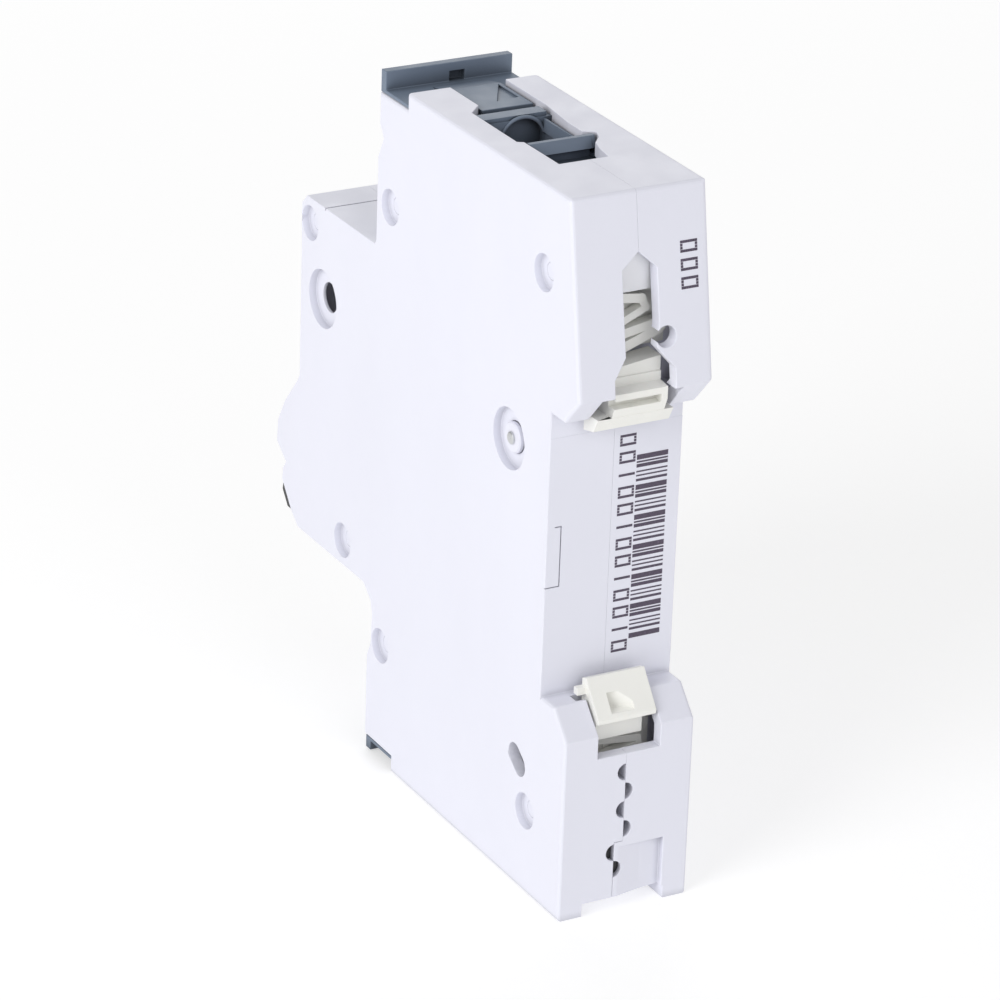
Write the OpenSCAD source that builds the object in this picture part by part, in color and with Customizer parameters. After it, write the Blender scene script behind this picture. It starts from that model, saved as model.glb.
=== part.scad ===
// Single-pole miniature circuit breaker for a 35 mm top-hat rail, drawn off and open.
// X is the width, the toggle side faces -Y, the rail side faces +Y, +Z is up.
// The origin is the centre of the rail seat.

/* [Case] */
// Overall height of the case
case_height = 88; // [88:0.2:88.4]
// Overall width of the case, one module
case_width = 17.2; // [17.2:0.1:17.5]
// Thickness of the two side walls
side_wall = 1.5; // [1.3:0.1:1.5]
// X position of the joint between the two case halves
seam_x = 0.3; // [0.2:0.05:0.4]

/* [Terminals] */
// Distance of each terminal screw from the rail centre
screw_z = 33; // [33:0.1:33.2]
// Radius of the terminal screw thread
screw_r = 2.5; // [2.3:0.1:2.5]

/* [Toggle] */
// Angle of the toggle below the horizontal when off
toggle_angle = 39; // [38:0.5:40]
// Distance from the toggle axis to its tip
toggle_reach = 23; // [22:0.1:23.2]

/* [Coil] */
// Number of turns in the magnetic trip coil
coil_turns = 9; // [7:1:9]

/* [Hidden] */
$fn = 64;
half_w = case_width / 2;
half_h = case_height / 2;
inner_w = half_w - side_wall;
seam_gap = 0.01;
slit = 0.05;
toggle_y = -55;
toggle_z = -8;
drum_r = 8.2;
funnel_z = 38.3;
lever_y = -44;
lever_z = -9;
arm_open = -18;
coil_y = -22;
bimetal_y = -36.1;
case_colour = [0.88, 0.88, 0.92];
cover_colour = [0.38, 0.44, 0.50];
cream_colour = [0.90, 0.87, 0.76];
steel_colour = [0.66, 0.67, 0.69];
copper_colour = [0.76, 0.45, 0.26];
brass_colour = [0.80, 0.66, 0.35];
dark_colour = [0.09, 0.09, 0.10];
silver_colour = [0.80, 0.80, 0.78];

// Outer profile of the case in Y and Z, from the lower rear corner, clockwise.
case_profile = [
    [6, -half_h], [-36.4, -half_h], [-36.4, -42], [-43.2, -42], [-43.2, -31], [-42.3, -29],
    [-42.1, -25], [-42.6, -23.4], [-44.6, -21.8], [-62.6, -21.8], [-64.6, -20.2], [-67.2, -17],
    [-67, -15.4], [-66.2, -14.3], [-68.8, -12.4], [-68.6, -9.4], [-66.7, -6.1], [-63.4, -2.2],
    [-62.8, -1.2], [-62.8, 21.6], [-61.5, 22.9], [-43.6, 22.9], [-43.2, 23.4], [-43.2, 34],
    [-41.9, 36.6], [-43.2, 38.6], [-43.2, 42], [-36.2, 42], [-36.2, half_h], [2.3, half_h],
    [6, 21.1], [2.8, 17.6], [-0.02, 17.6], [-0.02, 14.6], [0, 14.6], [0, -14.6], [-0.02, -14.6],
    [-0.02, -17.6], [2.9, -17.6], [6, -20.9]];

// Profile of the hollow inside the case in Y and Z.
hollow_profile = [
    [-40.4, 43], [-36.3, 43], [-36.3, 42.3], [0.7, 42.3], [4.4, 21.6], [2.2, 19.2], [-1.6, 19.2],
    [-1.6, -19.2], [2.2, -19.2], [4.4, -21.6], [4.4, -40.8], [-40.4, -40.8], [-40.4, -22.6],
    [-42.8, -20.3], [-61.3, -20.3], [-61.3, 21.4], [-42, 21.4], [-40.4, 23]];

// Centres of the pinned joints of the case in Y and Z.
pin_places = [[-60.6, 19.6], [-39.9, 28.7], [-3, 33.6], [-50.4, -18.6], [-39.8, -28.4],
              [-2.8, -33.6]];
short_boss_places = [pin_places[1], pin_places[4]];
long_boss_places = [pin_places[0], pin_places[2], pin_places[3], pin_places[5]];

// Extrudes a Y and Z profile across the width, from x_low to x_high.
module across(x_low, x_high) {
    translate([x_low, 0, 0]) rotate([90, 0, 90]) linear_extrude(x_high - x_low) children();
}

// Box given by its low and high corners.
module box(low, high) {
    translate(low) cube(high - low);
}

// Cylinder along X at a Y and Z place.
module x_rod(y, z, r, x_low, x_high) {
    translate([x_low, y, z]) rotate([0, 90, 0]) cylinder(r = r, h = x_high - x_low);
}

// Cylinder along Y at an X and Z place.
module y_rod(x, z, r, y_low, y_high) {
    translate([x, y_high, z]) rotate([90, 0, 0]) cylinder(r = r, h = y_high - y_low);
}

// Ring about the X axis.
module x_ring(y, z, major, minor, x) {
    translate([x, y, z]) rotate([0, 90, 0]) rotate_extrude() translate([major, 0]) circle(minor);
}

// Ring about the Z axis.
module z_ring(x, y, z, major, minor) {
    translate([x, y, z]) rotate_extrude() translate([major, 0]) circle(minor);
}

// Half of a round vent in the rear wall, on one side of the joint line.
module half_vent(x, z, side) {
    intersection() {
        y_rod(x, z, 1.05, 4, 7);
        box([side > 0 ? x : x - 2, 3, z - 2], [side > 0 ? x + 2 : x, 8, z + 2]);
    }
}

// Wire entry outline in X and Y, wider in front and narrowing to the rear.
module wire_entry_outline() {
    polygon([[3, -42], [3, -29.3], [4.9, -27.3], [4.9, -16.6], [4.2, -16.2], [4.1, -8.3],
             [-2.2, -8.3], [-2.6, -11], [-3.2, -13], [-4.5, -14.5], [-5, -16], [-3.6, -16.8],
             [-3.6, -20], [-4.3, -26.5], [-4.3, -42]]);
}

// Everything removed from the solid case block.
module case_openings() {
    across(-inner_w, inner_w) polygon(hollow_profile);
    // seats of the two grey covers
    box([-7.05, -44, 24.4], [7.05, -41.95, 45]);
    box([-7.05, -42, 40.75], [7.05, -36.2, 45]);
    box([-7.05, -44, -45], [7.05, -41.95, -29.4]);
    box([-7.05, -42, -45], [7.05, -36.4, -40.75]);
    // screw access through the front walls
    y_rod(0, screw_z, 3.6, -43, -40);
    y_rod(0, -screw_z, 3.6, -43, -40);
    // wire entries
    translate([0, 0, 42]) linear_extrude(3) wire_entry_outline();
    translate([0, 0, -45]) linear_extrude(4.6) wire_entry_outline();
    // channel along the underside and the ramp pocket behind it
    box([-5.4, -37, -45], [5.4, 7, -42.4]);
    translate([0, 0, -42.5]) linear_extrude(6.6)
        polygon([[1.4, 6.1], [-2.4, 5.4], [-5.2, 5.1], [-5.2, 6.1]]);
    // toggle slot in the nose
    box([-6.1, -70, -19.2], [6.1, -61, 3]);
    box([-6.1, -70, -23], [6.1, -63.4, 3]);
    // round wells with the case pins
    for (p = pin_places) {
        x_rod(p[0], p[1], 2.2, half_w - 1, half_w + 1);
        x_rod(p[0], p[1], 2.2, -half_w - 1, -half_w + 1);
        x_rod(p[0], p[1], 1.02, -half_w, half_w);
    }
    // wells of the accessory hole and of the rear pin
    for (y = [-56.9, -9.6]) {
        x_rod(y, 11, 3.7, half_w - 1.05, half_w + 1);
        x_rod(y, 11, 3.7, -half_w - 1, -half_w + 1.05);
        x_rod(y, 11, 1.9, -half_w, half_w);
    }
    // oval service hole
    for (shift = [-0.75, 0, 0.75]) {
        x_rod(-5 + shift * 0.8, -27.9 - shift * 0.6, 1.4, -half_w - 1, half_w + 1);
    }
    across(-half_w - 1, half_w + 1) translate([-5, -27.9]) rotate(-37) square([1.5, 2.8], true);
    // keyhole window of the upper rail clip
    translate([0, 7, 0]) rotate([90, 0, 0]) linear_extrude(6.4)
        polygon([[0.35, 37.1], [2.45, 35.2], [2.4, 25.4], [3.9, 23], [3.9, 20.5], [-3.9, 20.5],
                 [-3.9, 23.3], [-1.65, 25.9], [-2, 28.7], [-2, 35]]);
    y_rod(-2.9, 27, 1.25, 3, 7);
    box([-5, 0.9, 15], [5.4, 7, 20.8]);
    // window of the lower rail clip and the notch for its side lug
    box([-4.15, 0.9, -23.8], [4.15, 7, -15]);
    box([4, 1, -20.4], [5.3, 2.5, -16]);
    // arc vents in the rear wall
    half_vent(seam_x, -26.2, 1);
    half_vent(seam_x, -28.7, -1);
    half_vent(seam_x, -31.1, 1);
    half_vent(seam_x, -33.6, -1);
    half_vent(1.4, -36.5, 1);
    half_vent(1.4, -38.7, -1);
    // fine lines: rail seat tab and cap line on the nose
    box([6.7, -0.2, -3.8], [6.85, 1, 3.6]);
    box([6.7, -0.2, -3.95], [9, 1, -3.8]);
    box([6.7, -0.2, 3.5], [7.6, 1, 3.65]);
    box([-9, -56.6, 22.6], [9, -56.35, 24]);
}

// Bosses, ribs and rests that stand inside the hollow.
module case_supports() {
    for (p = long_boss_places) {
        x_rod(p[0], p[1], 1.9, -inner_w - 0.2, inner_w + 0.2);
    }
    for (p = short_boss_places) {
        x_rod(p[0], p[1], 1.7, -inner_w - 0.2, -3.5);
        x_rod(p[0], p[1], 1.7, 3.5, inner_w + 0.2);
    }
    // rests of the rail clip springs and the walls behind them
    box([-inner_w - 0.2, -2.2, 19], [inner_w + 0.2, -0.9, 37.8]);
    box([-inner_w - 0.2, -2.2, -31.8], [inner_w + 0.2, -0.9, -19]);
    box([-inner_w - 0.2, -1.6, 36.6], [inner_w + 0.2, 1.6, 37.8]);
    box([-inner_w - 0.2, -1.6, -31.8], [inner_w + 0.2, 2.8, -30.6]);
    // ribs that carry the trip coil, the contact plates and the arc chute
    for (side = [-1, 1]) {
        across(side > 0 ? 5 : -inner_w - 0.2, side > 0 ? inner_w + 0.2 : -5)
            polygon([[-12.2, -1.4], [-11.4, -1.4], [-11.4, 19.4], [-12.2, 19.4]]);
        across(side > 0 ? 3.4 : -inner_w - 0.2, side > 0 ? inner_w + 0.2 : -3.4)
            polygon([[-38.6, 23.4], [-23.6, 23.4], [-23.6, 24.8], [-38.6, 24.8]]);
        across(side > 0 ? 3.4 : -inner_w - 0.2, side > 0 ? inner_w + 0.2 : -3.4)
            polygon([[-38.6, -24.8], [-22, -24.8], [-22, -23.4], [-38.6, -23.4]]);
    }
}

// The whole case before it is parted into two halves.
module case_block() {
    difference() {
        union() {
            difference() {
                across(-half_w, half_w) polygon(case_profile);
                across(-inner_w, inner_w) polygon(hollow_profile);
            }
            case_supports();
        }
        difference() {
            case_openings();
            case_supports();
        }
        for (p = pin_places) x_rod(p[0], p[1], 1.02, -half_w, half_w);
    }
}

// Space that belongs to the right half; the joint line steps at the lower rear.
module right_half_space(gap) {
    box([seam_x + gap, -80, -50], [10, 4.3, 50]);
    box([seam_x + gap, 4.2, -35.2 + gap], [10, 8, 50]);
    box([1.4 + gap, 4.2, -50], [10, 8, -35.1]);
}

module case_right_shell() {
    color(case_colour) intersection() {
        case_block();
        right_half_space(seam_gap);
    }
}

module case_left_shell() {
    color(case_colour) difference() {
        case_block();
        right_half_space(-seam_gap);
    }
}

module case_rivets() {
    color(case_colour) {
        for (p = pin_places) {
            x_rod(p[0], p[1], 1, -half_w + 1.05, half_w - 1.05);
        }
        color(steel_colour) x_rod(-9.6, 11, 1.6, -half_w + 0.5, half_w - 0.5);
    }
}

// Grey cover; side is 1 for the upper one and -1 for the lower one.
module terminal_cover(side, apron_end, lip_end, ledge_rear) {
    color(cover_colour) mirror([0, 0, side > 0 ? 0 : 1]) difference() {
        union() {
            box([-7, -43.15, apron_end], [7, -42, 42.1]);
            box([-7, -42.1, 40.8], [7, ledge_rear - slit, 42.1]);
            box([-half_w + 0.2, -43.2, 42.05], [half_w - 0.2, ledge_rear - slit, 42.5]);
            box([-half_w + 0.2, -43.2, 42.05], [half_w - 0.2, -42, lip_end]);
            // tongue over the clamp
            across(-3.9, 2.85)
                polygon([[-41, 42.1], [-41, 42.5], [-36.6, 43.5], [-28.7, 43.5], [-28.7, 42.5],
                         [-35.8, 42.5], [-36.6, 42.1]]);
        }
        y_rod(0, screw_z, 3.6, -44, -41);
        box([-2, -42.85, 42.5], [0, -41, 43.7]);
        translate([0, 0, 43.2]) linear_extrude(1)
            polygon([[-0.4, -31], [-3.4, -31.4], [-3.4, -36.2]]);
    }
}

module upper_terminal_cover() {
    terminal_cover(1, 24.5, 44.8, -36.2);
}

module lower_terminal_cover() {
    terminal_cover(-1, 29.5, 43.7, -36.4);
}

// Copper plate inside a clamp with its tail under the cage.
module contact_plate(side, x_half) {
    color(copper_colour) mirror([0, 0, side > 0 ? 0 : 1]) across(-x_half, x_half)
        polygon([[-23.5, 40.2], [-22, 40.2], [-22, 24.8], [-38.4, 24.8], [-38.4, 26],
                 [-23.5, 26]]);
}

module upper_contact_plate() {
    contact_plate(1, 3.9);
}

module lower_contact_plate() {
    contact_plate(-1, 3.9);
}

module bimetal_carrier() {
    color(steel_colour) across(-3, 3)
        polygon([[-38.2, 24.8], [-34, 24.8], [-34, 23.6], [-35.4, 23.6], [-35.4, 20.4],
                 [-36.8, 20.4], [-36.8, 23.6], [-38.2, 23.6]]);
}

module calibration_screw() {
    color(brass_colour) difference() {
        union() {
            y_rod(0, 21.8, 0.8, -38.6, -36.8);
            y_rod(0, 21.8, 1.4, -39.6, -38.4);
        }
        box([-1.6, -40, 21.5], [1.6, -39.2, 22.1]);
    }
}

module bimetal_strip() {
    color(steel_colour) {
        box([-2.6, bimetal_y - 0.35, 3], [2.6, bimetal_y, 20.1]);
        color(brass_colour) box([-2.6, bimetal_y, 3], [2.6, bimetal_y + 0.35, 20.1]);
    }
}

module magnet_yoke() {
    color(steel_colour) difference() {
        across(-5, 5)
            polygon([[-30.4, -1.4], [-12.2, -1.4], [-12.2, 19.4], [-30.4, 19.4], [-30.4, 18.2],
                     [-13.4, 18.2], [-13.4, -0.2], [-30.4, -0.2]]);
        translate([0, coil_y, -2]) cylinder(r = 2.6, h = 2);
        translate([0, coil_y, 18]) cylinder(r = 2.8, h = 2);
    }
}

module coil_bobbin() {
    color(cream_colour) difference() {
        translate([0, coil_y, -0.2]) {
            cylinder(r = 3.3, h = 18.4);
            cylinder(r = 6.3, h = 1);
            translate([0, 0, 17.4]) cylinder(r = 6.3, h = 1);
        }
        translate([0, coil_y, -1]) cylinder(r = 2.55, h = 20);
    }
}

module coil_winding() {
    color(copper_colour) {
        difference() {
            translate([0, coil_y, 0.9]) cylinder(r = 4.4, h = 16.2);
            translate([0, coil_y, 0]) cylinder(r = 3.32, h = 18);
        }
        for (turn = [0 : coil_turns - 1]) {
            z_ring(0, coil_y, 1.9 + turn * 1.78, 4.9, 0.86);
        }
    }
}

module fixed_core() {
    color(steel_colour) difference() {
        translate([0, coil_y, -1.4]) cylinder(r = 2.5, h = 7.4);
        translate([0, coil_y, -2]) cylinder(r = 1.05, h = 9);
    }
}

module plunger() {
    color(steel_colour) translate([0, coil_y, 9.2]) cylinder(r = 2.48, h = 7.8);
}

module plunger_pin() {
    color(brass_colour) translate([0, coil_y, -2.2]) cylinder(r = 1, h = 11.4);
}

module plunger_spring() {
    color(steel_colour) for (turn = [0 : 2]) {
        z_ring(0, coil_y, 6.15 + turn * 1.45, 1.6, 0.13);
    }
}

module fixed_contact_strap() {
    color(copper_colour) difference() {
        box([-3, -30, -3.4], [3, -18.2, -2.6]);
        translate([0, coil_y, -4]) cylinder(r = 1.5, h = 2);
    }
}

module fixed_contact_tip() {
    color(silver_colour) box([-1.5, -29.6, -4.4], [1.5, -26.8, -3.4]);
}

module upper_arc_runner() {
    color(copper_colour) across(-2.5, 2.5)
        polygon([[-19.4, -3.4], [-18.2, -3.4], [-17.6, -5.2], [-5.6, -5.2], [-5.6, -6],
                 [-18.2, -6]]);
}

module lower_arc_runner() {
    color(copper_colour) box([-2.5, -22, -26], [2.5, -5.6, -25.2]);
}

module arc_chute_plates() {
    color(steel_colour) for (level = [0 : 8]) {
        translate([0, 0, -24.4 + level * 2.1]) linear_extrude(0.8)
            polygon([[-6.2, -19.6], [-1.6, -19.6], [0, -14], [1.6, -19.6], [6.2, -19.6],
                     [6.2, -5.6], [-6.2, -5.6]]);
    }
}

module arc_chute_frame() {
    color([0.72, 0.60, 0.45]) for (side = [-1, 1]) {
        box([side > 0 ? 6.2 : -7.05, -19.8, -25], [side > 0 ? 7.05 : -6.2, -5.4, -6.4]);
    }
}

module toggle_pin() {
    color(steel_colour) x_rod(toggle_y, toggle_z, 1.25, -inner_w, inner_w);
}

module lever_pin() {
    color(steel_colour) x_rod(lever_y, lever_z, 1, -inner_w, inner_w);
}

module toggle_spring() {
    color(steel_colour) for (x = [6.1, 6.75]) {
        x_ring(toggle_y, toggle_z, 1.75, 0.3, x);
    }
}

module toggle_handle() {
    color(dark_colour) difference() {
        union() {
            x_rod(toggle_y, toggle_z, drum_r, -5.5, 5.5);
            translate([0, toggle_y, toggle_z]) rotate([toggle_angle, 0, 0]) across(-5.3, 5.3)
                polygon([[-5, -3.6], [-11, -2.9], [-toggle_reach + 0.8, -1.9],
                         [-toggle_reach, -1.2], [-toggle_reach, 1.2], [-toggle_reach + 0.8, 1.9],
                         [-11, 2.9], [-5, 3.6]]);
        }
        x_rod(toggle_y, toggle_z, 1.31, -6, 6);
        // room for the link beside the middle web
        across(1.8, 3.4) translate([toggle_y, toggle_z])
            polygon([[2.4, -0.6], [0, -3], [0, -10], [10, -10], [10, 10], [-4, 10], [-1, 2.4]]);
        x_rod(-51.83, -4.4, 0.64, 1, 4.6);
        // grip grooves near the tip
        translate([0, toggle_y, toggle_z]) rotate([toggle_angle, 0, 0])
            for (row = [0 : 2]) {
                box([-6, -toggle_reach + 2.2 + row * 1.6, 1.7],
                    [6, -toggle_reach + 2.8 + row * 1.6, 3]);
            }
    }
}

module link_wire() {
    color(steel_colour) {
        x_rod(-51.83, -4.4, 0.6, 2, 4.4);
        x_rod(-41.25, -4.24, 0.6, 2.15, 3.2);
        translate([2.6, -51.83, -4.4]) rotate([0.87 - 90, 0, 0]) cylinder(r = 0.5, h = 10.58);
    }
}

// Contact arm profile in its closed position, about the lever pin.
module arm_frame() {
    translate([0, lever_y, lever_z]) rotate([arm_open, 0, 0]) children();
}

module contact_arm() {
    color(copper_colour) difference() {
        arm_frame() {
            across(-1.2, 1.2)
                polygon([[-1.5, -1.2], [0, -2], [14, 0.6], [22.6, 2.4], [22.8, 3.4], [14, 2.7],
                         [1, 2.2], [-1.2, 1.6]]);
            x_rod(0, 0, 2.1, -1.2, 1.2);
        }
        x_rod(lever_y, lever_z, 1.06, -2, 2);
        arm_frame() box([-2, 14.6, 2.6], [2, 17, 4.2]);
    }
}

module moving_contact_tip() {
    color(silver_colour) arm_frame() box([-1.5, 14.6, 2.6], [1.5, 17, 4.2]);
}

module latch_plate() {
    color(steel_colour) difference() {
        union() {
            x_rod(lever_y, lever_z, 2.3, 1.2, 2);
            x_rod(-41.25, -4.24, 1.3, 1.2, 2);
            translate([0, lever_y, lever_z]) rotate([60, 0, 0]) box([1.2, 0, -1], [2, 5.5, 1]);
        }
        x_rod(lever_y, lever_z, 1.06, 1, 3);
        x_rod(-41.25, -4.24, 0.66, 1, 3);
    }
}

module contact_spring() {
    color(steel_colour) for (x = [-1.55, -2.05]) {
        x_ring(lever_y, lever_z, 1.55, 0.24, x);
    }
}

module trip_lever() {
    color(cream_colour) difference() {
        union() {
            x_rod(lever_y, lever_z, 2.2, -4.8, -2.6);
            across(-4.8, -2.6)
                polygon([[-45.4, -8], [-42.4, -8.4], [-39, 0], [-38.8, 6.4], [-40.8, 6.4],
                         [-41, 1]]);
            box([-4.8, -40.6, 3], [2.4, -38.9, 5.6]);
        }
        x_rod(lever_y, lever_z, 1.06, -6, -2);
    }
}

module flexible_braid() {
    color(copper_colour) across(-1.2, 1.2)
        polygon([[-34.6, 23.6], [-33.9, 23.6], [-33.9, 2], [-35.4, -8.5], [-36.2, -8.5],
                 [-34.6, 2]]);
}

// Terminal screw; the cross slot faces the front.
module clamp_screw(side) {
    color(steel_colour) difference() {
        union() {
            y_rod(0, side * screw_z, 2.9, -40.2, -37.6);
            y_rod(0, side * screw_z, screw_r, -37.7, -24.1);
        }
        box([-2.2, -40.3, side * screw_z - 0.4], [2.2, -39, side * screw_z + 0.4]);
        box([-0.4, -40.3, side * screw_z - 2.2], [0.4, -39, side * screw_z + 2.2]);
    }
}

module upper_clamp_screw() {
    clamp_screw(1);
}

module lower_clamp_screw() {
    clamp_screw(-1);
}

// Lift cage around the contact plate, open at its two ends.
module clamp_cage(side) {
    color(steel_colour) difference() {
        box([-5.2, -33.6, side > 0 ? 28 : -38], [5.2, -15, side > 0 ? 38 : -28]);
        box([-4.2, -31, -45], [4.2, -16.4, 45]);
        y_rod(0, side * screw_z, screw_r + 0.06, -35, -30);
    }
}

module upper_clamp_cage() {
    clamp_cage(1);
}

module lower_clamp_cage() {
    clamp_cage(-1);
}

// Grey funnel frame above a cage, up to top_z.
module funnel_frame(top_z) {
    difference() {
        box([-6, -25, funnel_z], [6, -15.6, top_z]);
        translate([0.4, -20.8, top_z - 1.1]) cylinder(r = 4.3, h = 3);
        box([-3.3, -24, funnel_z - 1], [4.1, -17.2, 45]);
        // room for the upright leg of the contact plate
        box([-4.1, -23.7, funnel_z - 1], [4.1, -21.8, 40.4]);
    }
}

module upper_clamp_shroud() {
    color(cover_colour) {
        difference() {
            union() {
                funnel_frame(41.6);
                // scoop block behind the tongue
                box([-4.05, -26.8, funnel_z], [4.7, -24.6, 43.3]);
                box([-3.5, -26.8, 43.2], [4.7, -24.9, 43.8]);
            }
            y_rod(-0.3, 40.6, 3.05, -25.9, -17);
        }
        // flap with a stepped rear face
        across(-3.9, 4)
            polygon([[-16.6, funnel_z], [-16.6, 43.2], [-16, 43.9], [-15.4, 43.9], [-14.7, 42.6],
                     [-15.4, 42.4], [-15.4, funnel_z]]);
        across(-4.45, -3.8)
            polygon([[-16, 42.6], [-16, 43.9], [-15.4, 43.9], [-14.8, 42.6]]);
        // guide rail and the sloping plate behind the flap
        box([-3.25, -24.7, 41.5], [-2.95, -16.5, 43.1]);
        across(-4, 4)
            polygon([[-15.5, funnel_z], [-15.5, 41.4], [-9, 40.2], [-9, funnel_z]]);
    }
}

module lower_clamp_shroud() {
    color(cover_colour) mirror([0, 0, 1]) funnel_frame(40.3);
}

module upper_rail_clip() {
    color(cream_colour) difference() {
        union() {
            across(-4.7, 5.1)
                polygon([[1.2, 15.7], [3.4, 16.2], [4.3, 17.9], [1.2, 17.9]]);
            across(-3.5, 3.3)
                polygon([[1.2, 17], [3.9, 17], [4.9, 19.4], [4.9, 20.9], [3.2, 21.1], [3.2, 22.2],
                         [0.1, 22.2], [0.1, 20.3], [1.2, 19.9]]);
            // sloping shoulder that carries the spring
            translate([0, 3, 0]) rotate([90, 0, 0]) linear_extrude(2.9)
                polygon([[3.3, 22.1], [3.3, 23.2], [-3.5, 24], [-3.5, 22.1]]);
        }
        box([-2.7, 3.4, 19.1], [3.5, 6, 20.1]);
    }
}

// Flat bar of a moulded spring between two X and Z places, with a round end at the second.
module spring_bar(from, to, width) {
    run = to - from;
    translate([from[0], from[1]]) rotate(atan2(run[1], run[0])) {
        translate([0, -width / 2]) square([norm(run), width]);
        translate([norm(run), 0]) circle(width / 2 + 0.04);
    }
}

// Moulded spring along a list of X and Z places, 1.3 mm deep from y_low.
module moulded_spring(places, widths, y_low) {
    translate([0, y_low + 1.3, 0]) rotate([90, 0, 0]) linear_extrude(1.3)
        for (i = [0 : len(widths) - 1]) {
            spring_bar(places[i], places[i + 1], widths[i]);
        }
}

module upper_clip_spring() {
    color(cream_colour)
        moulded_spring([[4.6, 36.6], [4.6, 31.4], [-1.6, 30.5], [-2.2, 29.3], [3.9, 26.6],
                        [3.9, 25.9], [-4.3, 27.4], [-4.4, 26.6], [2.4, 24.15], [2.4, 23.9]],
                       [1, 1.1, 0.9, 0.9, 0.9, 1.1, 0.9, 1.2, 1], 0.1);
}

module lower_rail_clip() {
    color(cream_colour) difference() {
        union() {
            across(-3.85, 3.85)
                polygon([[1.2, -15.5], [2.1, -15.2], [5.3, -19.3], [5.2, -19.9], [3.6, -20.3],
                         [1.2, -20.3]]);
            across(-3.1, 3.1)
                polygon([[0.9, -20.2], [3.4, -20.2], [3.4, -22.8], [0.9, -22.8]]);
            box([3.8, 1.3, -17.2], [5, 2.2, -16.3]);
        }
        translate([0, 0, -18.9]) linear_extrude(2)
            polygon([[-1.1, 5.8], [-1.1, 4.3], [1.9, 2.6], [1.9, 5.8]]);
    }
}

module lower_clip_spring() {
    color(cream_colour)
        moulded_spring([[2.4, -22.82], [2.4, -23.6], [-3.4, -24.3], [-3.6, -25.1], [3, -26.3],
                        [3.2, -27.1], [-3, -28.3], [-3, -29.4], [1, -29.6], [1, -30.1]],
                       [0.9, 0.9, 0.8, 0.8, 0.8, 0.8, 0.8, 0.8, 0.8], 0.9);
}

case_left_shell();
case_right_shell();
case_rivets();
upper_terminal_cover();
lower_terminal_cover();
upper_contact_plate();
lower_contact_plate();
bimetal_carrier();
calibration_screw();
magnet_yoke();
coil_bobbin();
coil_winding();
fixed_core();
fixed_contact_strap();
fixed_contact_tip();
upper_arc_runner();
lower_arc_runner();
arc_chute_plates();
arc_chute_frame();
toggle_pin();
toggle_spring();
lever_pin();
flexible_braid();
toggle_handle();
link_wire();
contact_arm();
moving_contact_tip();
latch_plate();
contact_spring();
trip_lever();
bimetal_strip();
plunger();
plunger_pin();
plunger_spring();
upper_clamp_screw();
upper_clamp_cage();
upper_clamp_shroud();
lower_clamp_screw();
lower_clamp_cage();
lower_clamp_shroud();
upper_rail_clip();
upper_clip_spring();
lower_rail_clip();
lower_clip_spring();
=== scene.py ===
"""A one-pole rail-mount circuit breaker on a pale studio floor, seen from behind and above."""

import math

import bmesh
import bpy
from mathutils import Matrix, Vector


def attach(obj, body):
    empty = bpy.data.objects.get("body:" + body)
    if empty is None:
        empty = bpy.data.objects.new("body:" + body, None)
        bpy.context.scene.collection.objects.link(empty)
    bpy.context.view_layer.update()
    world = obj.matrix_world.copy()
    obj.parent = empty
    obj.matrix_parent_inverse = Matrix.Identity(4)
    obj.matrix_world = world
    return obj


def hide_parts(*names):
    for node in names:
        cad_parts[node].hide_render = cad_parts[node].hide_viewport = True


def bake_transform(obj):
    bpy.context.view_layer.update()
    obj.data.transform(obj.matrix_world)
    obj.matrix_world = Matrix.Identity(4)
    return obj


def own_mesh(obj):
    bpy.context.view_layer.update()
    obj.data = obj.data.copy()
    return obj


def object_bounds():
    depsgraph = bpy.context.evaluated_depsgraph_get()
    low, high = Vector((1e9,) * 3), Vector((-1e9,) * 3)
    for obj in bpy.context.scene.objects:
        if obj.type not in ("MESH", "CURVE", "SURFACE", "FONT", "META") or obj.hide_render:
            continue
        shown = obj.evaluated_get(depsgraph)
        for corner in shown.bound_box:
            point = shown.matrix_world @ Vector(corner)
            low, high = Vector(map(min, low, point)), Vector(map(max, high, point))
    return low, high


MM = 0.001
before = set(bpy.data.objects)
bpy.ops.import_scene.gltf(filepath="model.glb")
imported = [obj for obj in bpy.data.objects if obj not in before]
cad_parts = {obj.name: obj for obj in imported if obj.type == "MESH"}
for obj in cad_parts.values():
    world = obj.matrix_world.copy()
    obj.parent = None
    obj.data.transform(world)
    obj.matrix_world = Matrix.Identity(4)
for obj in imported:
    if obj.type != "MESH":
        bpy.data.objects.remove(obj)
cad_low, cad_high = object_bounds()


# ---------------------------------------------------------------- materials

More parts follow.
